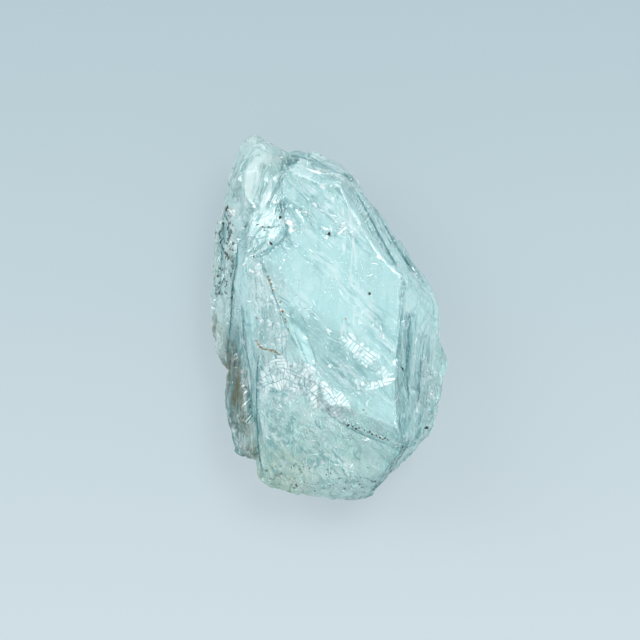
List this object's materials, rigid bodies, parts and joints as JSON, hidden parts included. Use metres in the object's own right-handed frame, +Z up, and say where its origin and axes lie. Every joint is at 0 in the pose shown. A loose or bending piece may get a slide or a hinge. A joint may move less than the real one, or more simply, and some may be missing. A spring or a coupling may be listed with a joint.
{
  "type": "rough aquamarine crystal",
  "caption": "Irregular rough aquamarine crystal, clear pale blue-green, with a flat clear face, broken flanks and internal fractures; lies on its broad back face.",
  "frame": {"origin": "centre of the outline's bounding box, on the surface that the stone lies on", "axes": "+Z up out of the clear front face, +Y along the crystal towards its horn, +X to the right of the front face seen from above"},
  "size_m": [0.0224, 0.0344, 0.0144],
  "materials": {
    "aquamarine": "clear pale blue-green beryl, glossy broken faces with fine striations",
    "silver_fracture": "bright silvery internal fracture scales",
    "dark_mineral": "dark brown to black mineral grains sealed in the crystal",
    "iron_stain": "rusty iron stain in cracks"
  },
  "bodies": {
    "root": {"crystal": "aquamarine"}
  },
  "joints": []
}
